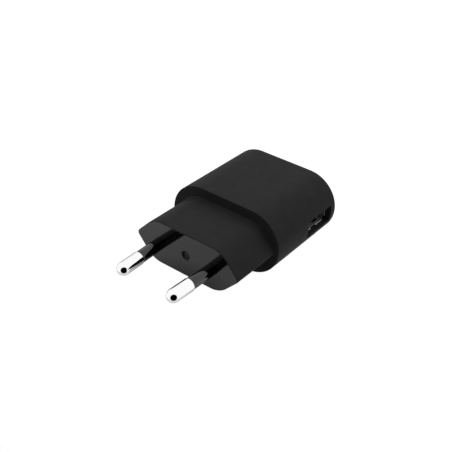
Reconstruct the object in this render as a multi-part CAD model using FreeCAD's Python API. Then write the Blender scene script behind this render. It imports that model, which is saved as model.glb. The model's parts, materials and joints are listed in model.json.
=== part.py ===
import FreeCAD, Part
import math
import os

from FreeCAD import Vector

# Two-pin USB wall charger, lying on its wide side.
# Millimetres. +Z up, X across the width, the pins point along -Y.
# The origin is the centre of the plug's front face.

# ---- driving dimensions ------------------------------------------------------
plug_width = 36.0            # across the rounded side edges of the six-sided plug
plug_height = 13.9
plug_slope = 47.7            # degrees, a sloping side against the flat top
plug_corner_radius = 7.2
plug_apex_radius = 1.25
plug_front_radius = 0.3
plug_root_fillet = 0.35
plug_depth = 17.8            # front face to shoulder
body_width = 38.7
body_height = 20.6           # the narrow sides are half circles of this height
body_length = 31.6           # shoulder to rear face
body_rear_radius = 0.3
wall = 2.0
rear_wall = 1.5
plug_wall = 1.8
face_thickness = 2.4
shoulder_thickness = 1.6

pin_radius = 2.0
pin_length = 17.7            # out of the front face
pin_spacing = 18.6           # at the front face
pin_lean = 1.8               # degrees, each pin leans towards the other
sleeve_radius = 1.84
sleeve_length = 9.5          # visible part of the insulating sleeve
shank_radius = 1.45
collar_radius = 2.4
boss_radius = 3.6
boss_length = 3.0
recess_radius = 1.5          # small blind recess in the middle of the front face
recess_depth = 0.8

usb_open_width = 12.5        # receptacle mouth, along Y
usb_open_height = 5.12       # receptacle mouth, along Z
usb_metal = 0.3
usb_depth = 14.0
usb_from_rear = 9.0          # middle of the mouth to the rear face
usb_recess = 2.1             # side of the body to the front edge of the metal shell
port_width = 13.2            # cut-out in the body's side, along Y
port_top = 2.6               # its upper edge; its lower edge clears the metal shell
tongue_width = 11.1
tongue_height = 1.84
contact_pitches = (3.5, 1.0, -1.0, -3.5)
contact_width = 1.0
contact_thickness = 0.2

spigot_length = 2.5          # front cover's rim that enters the main shell
spigot_wall = 1.2
ledge_inner = 13.6           # inner edge of the ledges that carry the board
ledge_height = 1.1
board_thickness = 1.2
fit_gap = 0.05               # between parts that nest
snug_gap = 0.02              # between parts pressed or moulded together

# ---- positions worked out from them -----------------------------------------
body_end = plug_depth + body_length
shoulder_back = plug_depth + shoulder_thickness
face_hole_y = 1.5            # end of the sleeve inside the front face
boss_end = face_thickness + boss_length
retainer_thickness = 1.5
retainer_y = boss_end + 0.15     # clear of the leaning bosses
strap_y = retainer_y + retainer_thickness + 0.15
usb_front = body_width / 2 - usb_recess
usb_back = usb_front - usb_depth
usb_y = body_end - usb_from_rear
usb_outer_width = usb_open_width + 2 * usb_metal
usb_outer_height = usb_open_height + 2 * usb_metal
board_top = -usb_outer_height / 2
board_bottom = board_top - board_thickness
board_half_width = 15.2
board_front = shoulder_back + spigot_length + 0.2
board_rear = body_end - rear_wall - 0.2
board_tongue_half = 10.5
board_tongue_front = strap_y + 1.6
hinge_x = usb_back + 4.6     # root of the four contact springs
hinge_z = 0.62


# ---- outline helpers ---------------------------------------------------------
def block(x_range, y_range, z_range):
    """Box between the given ends."""
    low = Vector(x_range[0], y_range[0], z_range[0])
    size = [r[1] - r[0] for r in (x_range, y_range, z_range)]
    return Part.makeBox(size[0], size[1], size[2], low)


def centred(centre, size):
    """Box around a centre point."""
    return block(*[(c - s / 2, c + s / 2) for c, s in zip(centre, size)])


def rod(start, radius, length, axis):
    """Cylinder from a start point along an axis."""
    return Part.makeCylinder(radius, length, Vector(*start), Vector(*axis))


def fuse(shapes):
    """Union of a list of solids, with merged faces."""
    result = shapes[0].multiFuse(shapes[1:]) if len(shapes) > 1 else shapes[0]
    return result.removeSplitter()


def edges_along(shape, axis):
    """Straight edges parallel to an axis."""
    found = []
    for edge in shape.Edges:
        if isinstance(edge.Curve, Part.Line) and abs(edge.tangentAt(edge.FirstParameter).dot(axis)) > 0.999:
            found.append(edge)
    return found


def rounded_block(centre, size, radius, axis):
    """Box with its four edges along an axis rounded."""
    box = centred(centre, size)
    return box.makeFillet(radius, edges_along(box, Vector(*axis)))


def stadium(width, height, y_start, y_end):
    """Prism along Y with half-circle ends."""
    radius = height / 2
    x = width / 2 - radius

    def at(px, pz):
        return Vector(px, y_start, pz)

    top = Part.makeLine(at(-x, radius), at(x, radius))
    right = Part.Arc(at(x, radius), at(x + radius, 0), at(x, -radius)).toShape()
    bottom = Part.makeLine(at(x, -radius), at(-x, -radius))
    left = Part.Arc(at(-x, -radius), at(-x - radius, 0), at(-x, radius)).toShape()
    face = Part.Face(Part.Wire([top, right, bottom, left]))
    return face.extrude(Vector(0, y_end - y_start, 0))


def plug_prism(inset, y_start, y_end):
    """Six-sided plug outline drawn in by `inset`, extruded along Y with rounded corners."""
    slope = math.radians(plug_slope)
    apex = plug_width / 2 + plug_apex_radius * (1 / math.sin(slope) - 1) - inset / math.sin(slope)
    half_height = plug_height / 2 - inset
    flat = apex - half_height / math.tan(slope)
    outline = [(apex, 0), (flat, half_height), (-flat, half_height),
               (-apex, 0), (-flat, -half_height), (flat, -half_height)]
    points = [Vector(x, y_start, z) for x, z in outline]
    prism = Part.Face(Part.makePolygon(points + points[:1])).extrude(Vector(0, y_end - y_start, 0))
    corners = [e for e in edges_along(prism, Vector(0, 1, 0)) if abs(e.Vertexes[0].Z) > 0.01]
    prism = prism.makeFillet(plug_corner_radius - inset, corners)
    tips = [e for e in edges_along(prism, Vector(0, 1, 0)) if abs(e.Vertexes[0].Z) < 0.01]
    return prism.makeFillet(max(plug_apex_radius - inset, 0.4), tips)


def outline_edges(shape, y, margin=0.01):
    """Edges that lie wholly in the plane at y."""
    return [e for e in shape.Edges
            if abs(e.BoundBox.YMin - y) < margin and abs(e.BoundBox.YMax - y) < margin]


def lean(shape, side):
    """Put a shape drawn about the Y axis onto the left (-1) or right (+1) pin's axis."""
    placed = shape.copy()
    placed.rotate(Vector(0, 0, 0), Vector(0, 0, 1), -side * pin_lean)
    placed.translate(Vector(side * pin_spacing / 2, 0, 0))
    return placed


# ---- housing -----------------------------------------------------------------
def front_cover():
    """Plug section, shoulder plate and the spigot that enters the main shell."""
    plug = plug_prism(0, 0, plug_depth + 0.5)
    plug = plug.makeFillet(plug_front_radius, outline_edges(plug, 0))
    plate = stadium(body_width, body_height, plug_depth, shoulder_back)
    cover = plug.fuse(plate).removeSplitter()
    root = [e for e in outline_edges(cover, plug_depth)
            if abs(e.BoundBox.ZMax) < plug_height / 2 + 0.1 and e.BoundBox.ZMin > -plug_height / 2 - 0.1]
    cover = cover.makeFillet(plug_root_fillet, root)
    inner_width = body_width - 2 * wall - 2 * fit_gap
    inner_height = body_height - 2 * wall - 2 * fit_gap
    spigot = stadium(inner_width, inner_height, shoulder_back - 0.2, shoulder_back + spigot_length)
    hollow_width = inner_width - 2 * spigot_wall
    hollow_height = inner_height - 2 * spigot_wall
    hollow = stadium(hollow_width, hollow_height, shoulder_back - 0.5, shoulder_back + spigot_length + 0.5)
    spigot = spigot.cut(hollow)
    cavity = plug_prism(plug_wall, face_thickness, shoulder_back + 1)
    boss = rod((0, face_thickness - 0.5, 0), boss_radius, boss_length + 0.5, (0, 1, 0))
    bosses = [lean(boss, side) for side in (-1, 1)]
    cover = cover.fuse(spigot).cut(cavity).fuse(bosses)
    for side in (-1, 1):
        bore = rod((0, -1, 0), sleeve_radius + snug_gap, 4, (0, 1, 0))
        pocket = rod((0, face_hole_y, 0), collar_radius + snug_gap, boss_end, (0, 1, 0))
        cover = cover.cut(lean(bore, side)).cut(lean(pocket, side))
    recess = rod((0, -0.5, 0), recess_radius, recess_depth + 0.5, (0, 1, 0))
    return cover.cut(recess).removeSplitter()


def main_shell():
    """Cup that holds the electronics, closed at the rear, with the port cut-out in its side."""
    shell = stadium(body_width, body_height, shoulder_back, body_end)
    shell = shell.makeFillet(body_rear_radius, outline_edges(shell, body_end))
    inner_width = body_width - 2 * wall
    inner_height = body_height - 2 * wall
    cavity = stadium(inner_width, inner_height, shoulder_back - 1, body_end - rear_wall)
    shell = shell.cut(cavity)
    lining = stadium(inner_width + 0.4, inner_height + 0.4, 0, body_end)
    for x_range in ((-body_width / 2, -ledge_inner), (ledge_inner, body_width / 2)):
        ledge = block(x_range, (board_front, body_end - rear_wall + 0.2),
                      (board_bottom - ledge_height, board_bottom))
        shell = shell.fuse(ledge.common(lining))
    port_bottom = -usb_outer_height / 2 - fit_gap
    port = rounded_block((body_width / 2, usb_y, (port_top + port_bottom) / 2),
                         (12, port_width, port_top - port_bottom), 0.35, (1, 0, 0))
    seat = rounded_block((usb_front - 1, usb_y, 0),
                         (2 + 2 * fit_gap, usb_outer_width + 0.2, usb_outer_height + 0.2), 0.7, (1, 0, 0))
    return shell.cut(port).cut(seat).removeSplitter()


# ---- plug pins ---------------------------------------------------------------
def contact_pin(side):
    """Nickel-plated pin: rounded tip, thinner shank under the sleeve, collar and tail."""
    ball = Part.makeSphere(pin_radius, Vector(0, pin_radius - pin_length, 0))
    metal_length = pin_length - sleeve_length - pin_radius
    front = rod((0, pin_radius - pin_length, 0), pin_radius, metal_length, (0, 1, 0))
    shank = rod((0, -sleeve_length - 0.5, 0), shank_radius, sleeve_length + strap_y + 2.1, (0, 1, 0))
    collar = rod((0, face_hole_y + snug_gap, 0), collar_radius, boss_end - face_hole_y - 0.2, (0, 1, 0))
    return lean(fuse([ball, front, shank, collar]), side)


def pin_sleeve(side):
    """Insulating sleeve on the root half of a pin."""
    outer = rod((0, -sleeve_length, 0), sleeve_radius, sleeve_length + face_hole_y, (0, 1, 0))
    outer = outer.makeFillet(0.12, outline_edges(outer, -sleeve_length))
    bore = rod((0, -sleeve_length - 1, 0), shank_radius + snug_gap, sleeve_length + 4, (0, 1, 0))
    return lean(outer.cut(bore), side)


def pin_retainer():
    """Plate that holds both pin collars against the front face from inside."""
    plate = plug_prism(plug_wall + fit_gap, retainer_y, retainer_y + retainer_thickness)
    for side in (-1, 1):
        plate = plate.cut(lean(rod((0, boss_end - 1, 0), shank_radius + fit_gap, 5, (0, 1, 0)), side))
    return plate


def pin_strap(side):
    """Brass strip clamped on a pin's tail, with a foot soldered onto the board."""
    ring = rod((0, strap_y, 0), 2.7, 0.6, (0, 1, 0))
    leg = block((-0.9, 0.9), (strap_y, strap_y + 0.6), (board_top, -1.5))
    foot = block((-0.9, 0.9), (strap_y, board_tongue_front + 1.6), (board_top, board_top + 0.5))
    strap = fuse([ring, leg, foot]).cut(rod((0, strap_y - 1, 0), shank_radius + fit_gap, 4, (0, 1, 0)))
    return lean(strap, side)


# ---- USB receptacle ----------------------------------------------------------
def usb_box(inset, x_start, x_end, radius):
    """Receptacle outline drawn in by `inset`, extruded along X."""
    size = (x_end - x_start, usb_outer_width - 2 * inset, usb_outer_height - 2 * inset)
    return rounded_block(((x_start + x_end) / 2, usb_y, 0), size, radius, (1, 0, 0))


def usb_shell():
    """Folded metal shell with four retention springs and two board legs."""
    shell = usb_box(0, usb_back, usb_front, 0.75)
    shell = shell.cut(usb_box(usb_metal, usb_back - 1, usb_front + 1, 0.45))
    spring_root = usb_front - 8.2
    for side in (-1, 1):
        z = side * (usb_outer_height / 2 - usb_metal / 2)
        for y in (usb_y - 3.0, usb_y + 3.0):
            window = centred((spring_root + 3.2, y, z), (6.4, 2.9, 1.0))
            spring = centred((3.1, 0, 0), (6.2, 2.1, usb_metal))
            spring.rotate(Vector(0, 0, 0), Vector(0, 1, 0), side * 3.0)
            spring.translate(Vector(spring_root - 0.1, y, z))
            shell = shell.cut(window).fuse(spring)
    for y in (usb_y - usb_outer_width / 2 + 0.15, usb_y + usb_outer_width / 2 - 0.15):
        leg = centred((usb_back + 7.0, y, board_bottom - 0.2), (2.0, usb_metal, 3.6))
        shell = shell.fuse(leg)
    return shell.removeSplitter()


def usb_insulator():
    """Block at the back of the receptacle and the tongue that carries the contacts."""
    base = usb_box(usb_metal + snug_gap, usb_back + 0.1, hinge_x - 0.5, 0.43)
    tongue = block((hinge_x - 0.6, usb_front - 0.35),
                   (usb_y - tongue_width / 2, usb_y + tongue_width / 2), (0.05, 0.05 + tongue_height))
    grooves = []
    for pitch in contact_pitches:
        grooves.append(block((hinge_x - 0.5, usb_front - 0.9),
                             (usb_y + pitch - 0.8, usb_y + pitch + 0.8), (-0.5, 1.35)))
        grooves.append(centred((usb_back + 2.2, usb_y + pitch, hinge_z),
                               (6, contact_width + 2 * fit_gap, contact_thickness + 2 * fit_gap)))
    return fuse([base, tongue]).cut(fuse(grooves))


def usb_contact_tails():
    """Fixed rear part of the four contacts: through the block, then down into the board."""
    tails = []
    for pitch in contact_pitches:
        y = usb_y + pitch
        half = contact_thickness / 2
        run = block((usb_back - 0.6, hinge_x - 0.5), (y - 0.5, y + 0.5), (hinge_z - half, hinge_z + half))
        drop = block((usb_back - 0.6, usb_back - 0.4), (y - 0.5, y + 0.5), (board_bottom - 0.8, hinge_z))
        tails.append(fuse([run, drop]))
    return Part.makeCompound(tails)


def usb_contact(pitch):
    """One contact spring: from its root it slopes down to the bulge and turns up at the tip."""
    half = contact_thickness / 2
    bulge_x = usb_front - 3.2
    line = [(hinge_x - 0.2, hinge_z), (hinge_x + 0.6, hinge_z), (bulge_x - 0.7, -0.12),
            (bulge_x, -0.28), (bulge_x + 0.6, -0.1), (usb_front - 1.3, 0.5)]
    lower = [Vector(x, usb_y + pitch - contact_width / 2, z - half) for x, z in line]
    upper = [Vector(x, usb_y + pitch - contact_width / 2, z + half) for x, z in reversed(line)]
    outline = lower + upper + lower[:1]
    return Part.Face(Part.makePolygon(outline)).extrude(Vector(0, contact_width, 0))


# ---- electronics -------------------------------------------------------------
capacitor_radius = 4.0
capacitor_length = 10.1
capacitor_y = board_front + 0.4
capacitor_z = board_top + capacitor_radius
core_size = 12.4             # transformer core seen from above, a square
core_thickness = 4.8
core_leg = 3.2               # its middle leg, along Y
core_window = Vector(7.8, 2.5, core_thickness + 1)
bobbin_tube = Vector(7.6, 4.4, 6.4)
bobbin_flange = Vector(0.6, 7.9, 9.2)
winding_thickness = 1.08
tape_thickness = 0.1
wire_radius = 0.3            # component leads and transformer posts
wire_end = 0.8               # how far they stand out under the board
transformer = Vector(-6.3, board_rear - core_size / 2 - 0.7, board_top + 5.45)
inductor_spot = (6.6, board_front + 3.8)
output_spot = (12.1, board_front + 3.6)
y_cap_spot = (5.8, usb_y - usb_outer_width / 2 - 2.4)


def lead(x, y, top):
    """Component lead: a wire that goes through the board."""
    return rod((x, y, board_bottom - wire_end), wire_radius, top - board_bottom + wire_end, (0, 0, 1))


def lead_spots():
    """All places where a round lead passes through the board."""
    spots = []
    for x in (-10.0, -1.6):
        spots += [(x - 1.25, capacitor_y + 0.8), (x + 1.25, capacitor_y + 0.8)]
    for x, y in (inductor_spot, output_spot):
        spots += [(x - 1.0, y), (x + 1.0, y)]
    spots += [(y_cap_spot[0] - 2.0, y_cap_spot[1]), (y_cap_spot[0] + 2.0, y_cap_spot[1])]
    spots += [(transformer.x + dx, transformer.y + dy) for dx in (-3.5, 3.5) for dy in (-3.0, 0, 3.0)]
    spots += [(-6.2, board_tongue_front + 4.4), (6.2, board_tongue_front + 4.4)]
    return spots


def circuit_board():
    """Main board with a tongue that reaches into the plug section."""
    main = block((-board_half_width, board_half_width), (board_front, board_rear), (board_bottom, board_top))
    main = main.makeFillet(1.0, edges_along(main, Vector(0, 0, 1)))
    tongue = block((-board_tongue_half, board_tongue_half), (board_tongue_front, board_front + 2),
                   (board_bottom, board_top))
    board = main.fuse(tongue).removeSplitter()
    holes = [rod((x, y, board_bottom - 1), wire_radius + 0.1, board_thickness + 2, (0, 0, 1))
             for x, y in lead_spots()]
    for pitch in contact_pitches:
        holes.append(centred((usb_back - 0.5, usb_y + pitch, board_bottom), (0.5, 1.3, 4)))
    for side in (-1, 1):
        leg_y = usb_y + side * (usb_outer_width / 2 - 0.15)
        holes.append(centred((usb_back + 7.0, leg_y, board_bottom), (2.3, 0.6, 4)))
    return board.cut(fuse(holes))


def electrolytic(x):
    """Lying electrolytic capacitor with a crimped neck and two leads bent down into the board."""
    r = capacitor_radius
    y = capacitor_y + 1.6
    profile = [(0, 0), (r - 0.4, 0), (r, 0.4), (r, 1.4), (r - 0.45, 1.7), (r, 2.0),
               (r, capacitor_length - 2.4), (r - 0.5, capacitor_length - 1.9), (0, capacitor_length - 1.9)]
    points = [Vector(radius, along, 0) for radius, along in profile]
    can = Part.Face(Part.makePolygon(points + points[:1])).revolve(Vector(0, 0, 0), Vector(0, 1, 0), 360)
    can.translate(Vector(x, y, capacitor_z))
    parts = [can]
    for dx in (-1.25, 1.25):
        parts.append(lead(x + dx, capacitor_y + 0.8, capacitor_z))
        parts.append(rod((x + dx, capacitor_y + 0.8, capacitor_z), wire_radius, 1.2, (0, 1, 0)))
        parts.append(Part.makeSphere(wire_radius, Vector(x + dx, capacitor_y + 0.8, capacitor_z)))
    return fuse(parts)


def standing_can(spot, radius, height):
    """Upright round component with a shallow groove near its foot and two leads."""
    x, y = spot
    profile = [(0, 0), (radius - 0.2, 0), (radius, 0.3), (radius, 1.0), (radius - 0.3, 1.25), (radius, 1.5),
               (radius, height - 0.4), (radius - 0.4, height), (0, height)]
    points = [Vector(r, 0, z) for r, z in profile]
    can = Part.Face(Part.makePolygon(points + points[:1])).revolve(Vector(0, 0, 0), Vector(0, 0, 1), 360)
    can.translate(Vector(x, y, board_top))
    return fuse([can, lead(x - 1.0, y, board_top + 0.2), lead(x + 1.0, y, board_top + 0.2)])


def input_inductor():
    """Drum core: two flanges with a wound waist between them."""
    x, y = inductor_spot
    drum = [rod((x, y, board_top), 2.7, 0.8, (0, 0, 1)), rod((x, y, board_top + 0.7), 2.4, 5.2, (0, 0, 1)),
            rod((x, y, board_top + 5.8), 2.7, 0.8, (0, 0, 1))]
    return fuse(drum + [lead(x - 1.0, y, board_top + 0.2), lead(x + 1.0, y, board_top + 0.2)])


def y_capacitor():
    """Disc capacitor standing on two leads."""
    x, y = y_cap_spot
    z = board_top + 3.0
    disc = rod((x, y - 1.1, z), 3.0, 2.2, (0, 1, 0))
    disc = disc.makeFillet(0.7, disc.Edges[:1] + disc.Edges[2:3])
    return fuse([disc, lead(x - 2.0, y, z), lead(x + 2.0, y, z)])


def fuse_resistor():
    """Axial resistor lying across the board's tongue."""
    y = board_tongue_front + 4.4
    z = board_top + 1.75
    body = rod((-3.6, y, z), 1.5, 7.2, (1, 0, 0))
    caps = [rod((-4.0, y, z), 1.75, 1.6, (1, 0, 0)), rod((2.4, y, z), 1.75, 1.6, (1, 0, 0))]
    wire = rod((-6.2, y, z), wire_radius, 12.4, (1, 0, 0))
    ends = [Part.makeSphere(wire_radius, Vector(x, y, z)) for x in (-6.2, 6.2)]
    return fuse([body] + caps + [wire] + ends + [lead(-6.2, y, z), lead(6.2, y, z)])


def surface_part(centre, size, lead_count, lead_pitch):
    """Moulded surface-mount part under the board, with flat leads on both ends."""
    x, y = centre
    along, across, tall = size
    body = centred((x, y, board_bottom - tall / 2 - 0.1), (along, across, tall))
    body = body.makeChamfer(0.2, edges_along(body, Vector(0, 0, 1)))
    parts = [body]
    for n in range(lead_count):
        dy = (n - (lead_count - 1) / 2) * lead_pitch
        parts.append(centred((x, y + dy, board_bottom - 0.1), (along + 2.0, 0.6, 0.2)))
    return fuse(parts)


def transformer_core():
    """Ferrite frame with a middle leg."""
    core = centred(transformer, (core_size, core_size, core_thickness))
    for side in (-1, 1):
        centre = transformer + Vector(0, side * (core_leg + core_window.y) / 2, 0)
        core = core.cut(centred(centre, core_window))
    return core


def transformer_bobbin():
    """Tube round the middle leg, two flanges, and two feet that stand on the board."""
    parts = [rounded_block(transformer, bobbin_tube, 0.3, (1, 0, 0))]
    for side in (-1, 1):
        x = transformer.x + side * 3.5
        parts.append(centred((x, transformer.y, transformer.z), bobbin_flange))
        parts.append(block((x - 1.1, x + 0.9) if side < 0 else (x - 0.9, x + 1.1),
                           (transformer.y - 3.9, transformer.y + 3.9), (board_top, transformer.z - 4.5)))
    bobbin = fuse(parts)
    return bobbin.cut(centred(transformer, (9, core_leg + 2 * fit_gap, core_thickness + 2 * fit_gap)))


def transformer_wrap(start, thickness):
    """Layer wound round the bobbin's tube, from `start` to `start + thickness` off its surface."""
    def outline(offset, length):
        size = (length, bobbin_tube.y + 2 * offset, bobbin_tube.z + 2 * offset)
        return rounded_block(transformer, size, 0.3 + offset / 2, (1, 0, 0))
    return outline(start + thickness, 6.2).cut(outline(start, 7.0))


def transformer_pins():
    """Six wire posts from the bobbin's feet through the board."""
    posts = []
    for dx in (-3.5, 3.5):
        for dy in (-3.0, 0, 3.0):
            posts.append(lead(transformer.x + dx, transformer.y + dy, board_top))
    return Part.makeCompound(posts)


# ---- write one STEP file for each piece --------------------------------------
contact_names = ("power", "data_minus", "data_plus", "ground")
pieces = {
    "front_cover": front_cover(),
    "main_shell": main_shell(),
    "pin_retainer": pin_retainer(),
    "circuit_board": circuit_board(),
    "usb_shell": usb_shell(),
    "usb_insulator": usb_insulator(),
    "usb_contact_tails": usb_contact_tails(),
    "input_capacitor_1": electrolytic(-10.0),
    "input_capacitor_2": electrolytic(-1.6),
    "output_capacitor": standing_can(output_spot, 2.5, 7.6),
    "input_inductor": input_inductor(),
    "y_capacitor": y_capacitor(),
    "fuse_resistor": fuse_resistor(),
    "transformer_core": transformer_core(),
    "transformer_bobbin": transformer_bobbin(),
    "transformer_winding": transformer_wrap(snug_gap, winding_thickness),
    "transformer_tape": transformer_wrap(winding_thickness + 2 * snug_gap, tape_thickness),
    "transformer_pins": transformer_pins(),
    "bridge_rectifier": surface_part((-9.5, board_front + 5.5), (4.0, 5.0, 2.4), 2, 2.5),
    "controller_ic": surface_part((transformer.x, transformer.y), (4.0, 5.0, 1.5), 4, 1.27),
    "output_diode": surface_part((6.5, board_front + 6.5), (4.4, 2.7, 2.2), 1, 1.0),
    "optocoupler": surface_part((usb_back + 4.8, usb_y), (4.4, 3.6, 2.1), 2, 2.54),
}
for side, name in ((-1, "left"), (1, "right")):
    pieces["pin_" + name] = contact_pin(side)
    pieces["pin_sleeve_" + name] = pin_sleeve(side)
    pieces["pin_strap_" + name] = pin_strap(side)
for pitch, name in zip(contact_pitches, contact_names):
    pieces["usb_contact_" + name] = usb_contact(pitch)

os.makedirs("parts", exist_ok=True)
for name, shape in pieces.items():
    shape.exportStep("parts/" + name + ".step")
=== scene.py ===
import json
import math

import bmesh
import bpy
from mathutils import Matrix, Vector


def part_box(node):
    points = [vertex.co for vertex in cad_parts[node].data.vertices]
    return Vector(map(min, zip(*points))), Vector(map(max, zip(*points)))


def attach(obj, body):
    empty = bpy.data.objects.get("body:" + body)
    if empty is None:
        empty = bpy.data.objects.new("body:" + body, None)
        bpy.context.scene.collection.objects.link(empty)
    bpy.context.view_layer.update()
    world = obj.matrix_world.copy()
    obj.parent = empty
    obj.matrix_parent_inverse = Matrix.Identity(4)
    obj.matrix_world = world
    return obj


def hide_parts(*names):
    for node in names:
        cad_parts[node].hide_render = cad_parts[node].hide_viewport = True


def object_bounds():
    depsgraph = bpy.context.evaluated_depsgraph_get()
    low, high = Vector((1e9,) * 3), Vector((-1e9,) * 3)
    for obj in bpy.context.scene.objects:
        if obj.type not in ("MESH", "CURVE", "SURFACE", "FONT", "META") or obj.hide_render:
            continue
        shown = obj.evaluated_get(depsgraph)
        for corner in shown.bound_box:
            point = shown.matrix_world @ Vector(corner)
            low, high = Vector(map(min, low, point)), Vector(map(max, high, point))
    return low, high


# Black two-pin USB wall charger on a white table. Metres, same frame as the CAD.

MM = 0.001
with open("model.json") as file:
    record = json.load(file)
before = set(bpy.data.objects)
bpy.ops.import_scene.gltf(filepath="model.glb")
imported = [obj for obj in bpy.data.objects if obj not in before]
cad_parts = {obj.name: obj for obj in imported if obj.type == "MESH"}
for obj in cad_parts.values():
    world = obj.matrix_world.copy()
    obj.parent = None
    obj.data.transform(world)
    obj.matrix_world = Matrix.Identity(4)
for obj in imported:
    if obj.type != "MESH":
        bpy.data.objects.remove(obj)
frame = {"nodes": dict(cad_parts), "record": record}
cad_box = [list(corner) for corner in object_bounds()]
scene = bpy.context.scene
scene.view_settings.view_transform = "Standard"

# ---- sizes that the boxes do not give ----------------------------------------
PLUG_SLOPE = math.radians(47.7)  # a sloping side against the flat top
PLUG_CORNER = 7.2 * MM
PLUG_APEX = 1.25 * MM
PLUG_WALL = 1.8 * MM
FACE_THICKNESS = 2.4 * MM
FACE_ROUND = 0.3 * MM
ROOT_FILLET = 0.35 * MM
WALL = 2.0 * MM
REAR_WALL = 1.5 * MM
REAR_ROUND = 0.3 * MM
SEAM = 0.02 * MM                 # tiny chamfer on both sides of the parting line
BODY_EDGE = 0.10 * MM            # width of the bevel on a piece's sharp edges, here and below
PLUG_EDGE = 0.06 * MM            # comes out with no width on this mesh
SHOULDER_ROUND = ((0.12 * MM, 0.0), (0.04 * MM, 0.04 * MM), (0.0, 0.14 * MM))  # inset and depth
PLATE_OVERLAP = 0.6 * MM         # how far the plug section runs into the shoulder plate
SPIGOT_PLAY = 0.05 * MM
SPIGOT_INSIDE = 1.25 * MM        # the spigot's inner face, in from the housing's
RECESS_RADIUS = 1.5 * MM
RECESS_DEPTH = 0.8 * MM
RECESS_CHAMFER = 0.15 * MM
RECESS_CHAMFER_DEPTH = 0.18 * MM
PIN_RADIUS = 2.0 * MM
SHANK_RADIUS = 1.45 * MM
COLLAR_RADIUS = 2.4 * MM
COLLAR_SEAT = 1.5 * MM           # behind the front face, where sleeve and collar meet
COLLAR_FRONT = 1.53 * MM
COLLAR_BACK = 5.1 * MM
COLLAR_PLAY = 0.02 * MM
SHANK_END = 8.6 * MM
TAIL_RADIUS = 1.2 * MM
TAIL_END = 8.8 * MM
BOSS_RADIUS = 3.6 * MM
BOSS_END = 5.4 * MM
LEDGE_INNER = 13.6 * MM          # ledges that carry the board
LEDGE_HEIGHT = 1.1 * MM
SLEEVE_RADIUS = 1.84 * MM
SLEEVE_ROUND = 0.12 * MM
SLEEVE_ROUND_MIDDLE = 0.035 * MM  # inset of the middle point of that rounding
SLEEVE_PLAY = 0.03 * MM
PIN_LEAN = math.radians(1.8)
USB_METAL = 0.3 * MM
USB_CORNER = 0.75 * MM
USB_CORNER_INSIDE = 0.45 * MM
USB_EDGE = 0.05 * MM
LIP = 0.24 * MM                  # flared front edge of the receptacle shell
LIP_DEPTH = 0.5 * MM
LIP_GAP = 2.7 * MM               # gap in the middle of that edge's wide sides
LIP_CORNER = 1.2 * MM            # relief at each corner of that edge
SPRING_OFFSET = 3.0 * MM
SPRING_ROOT = 8.2 * MM           # behind the receptacle's front edge
SPRING_LENGTH = 6.2 * MM
SPRING_DIP = 0.32 * MM
SPRING_EDGE = 0.04 * MM
WINDOW_FRONT = 1.15 * MM         # front end of the springs' windows, behind the same edge
WINDOW_HALF_WIDTH = 1.35 * MM
TONGUE_HALF_WIDTH = 5.55 * MM
TONGUE_HALF_HEIGHT = 0.92 * MM
TONGUE_MIDDLE = 0.97 * MM
BLOCK_CORNER = 0.43 * MM
GROOVE_HALF_WIDTH = 0.8 * MM
GROOVE_HALF_HEIGHT = 0.92 * MM
GROOVE_MIDDLE = 0.43 * MM
CONTACT_HALF_THICKNESS = 0.1 * MM
CONTACT_EDGE = 0.03 * MM
CONTACT_TIP = 0.86               # part of a contact's length where its tip starts to narrow
# Height in millimetres along a contact, at parts of its length from root to tip.
CONTACT_CURVE = ((0.0, 0.62), (0.1, 0.62), (0.35, 0.32), (0.66, -0.10), (0.77, -0.26), (0.86, -0.08),
                 (1.0, 0.48))
CONTACTS = ("usb_contact_power", "usb_contact_data_minus", "usb_contact_data_plus", "usb_contact_ground")
PORT_WIDTH = 13.2 * MM
PORT_TOP = 2.6 * MM
PORT_PLAY = 0.05 * MM
PORT_CORNER = 0.35 * MM
PORT_REACH = 4 * MM              # how far the cut-out runs in behind the receptacle's front edge
SEAT_PLAY = 0.1 * MM
SEAT_CORNER = 0.7 * MM
SEAT_REACH = 3 * MM
CORNER_STEPS = 32
ROUND_STEPS = 6
TIP_STEPS = 16
EDGE_WEAR = 0.10 * MM            # width of the rubbed band along the edges

# ---- stage and camera --------------------------------------------------------
# Azimuth and elevation of the middle in degrees, then brightness at angles off the middle.
OPENING = (46.0, 3.5, ((0, 0.0), (48, 0.0), (54, 0.9), (66, 1.0)))
GAP = (217.0, -21.0, ((0, 0.28), (16, 0.36), (30, 0.66), (48, 1.0)))
TABLE_EDGE = (-0.59, -0.535)     # sine of the elevation where the studio turns greyer
TABLE_TONE = 0.71
FLOOR_GLOW = 0.985
FLOOR_FILL = 0.45
STAGE_REACH = 1.5                # half the table's width, in metres
BACKDROP_RADIUS = 0.95 * STAGE_REACH
# Painted shade: a grey glowing patch under the plug that only reflections see, for the charger's shadow on
# the table
SHADE_TONE = 0.2
SHADE_Y = 14.0 * MM
SHADE_FADE = (14.0 * MM, 25.5 * MM)
CARD_HALF_WIDTH = 60.0 * MM
CARD_HEIGHT = 60.0 * MM
CARD_Y = -70.0 * MM
CAMERA_AZIMUTH = 34.94
CAMERA_ELEVATION = 33.83
CAMERA_ROLL = 3.95
CAMERA_DISTANCE = 221.7 * MM
CAMERA_LENS = 61.16              # millimetres, as is the sensor's width
CAMERA_SENSOR = 36
CAMERA_CLIP = 0.005
CAMERA_AIM = Vector((2.50, -0.83, 3.59)) * MM     # from the middle of the charger


# ---- frame measurements ------------------------------------------------------
def section(node, y_low, y_high):
    """Largest |x| and |z| of a CAD node's vertices between two planes across Y."""
    points = [v.co for v in frame["nodes"][node].data.vertices if y_low <= v.co.y <= y_high]
    return max(abs(p.x) for p in points), max(abs(p.z) for p in points)


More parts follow.
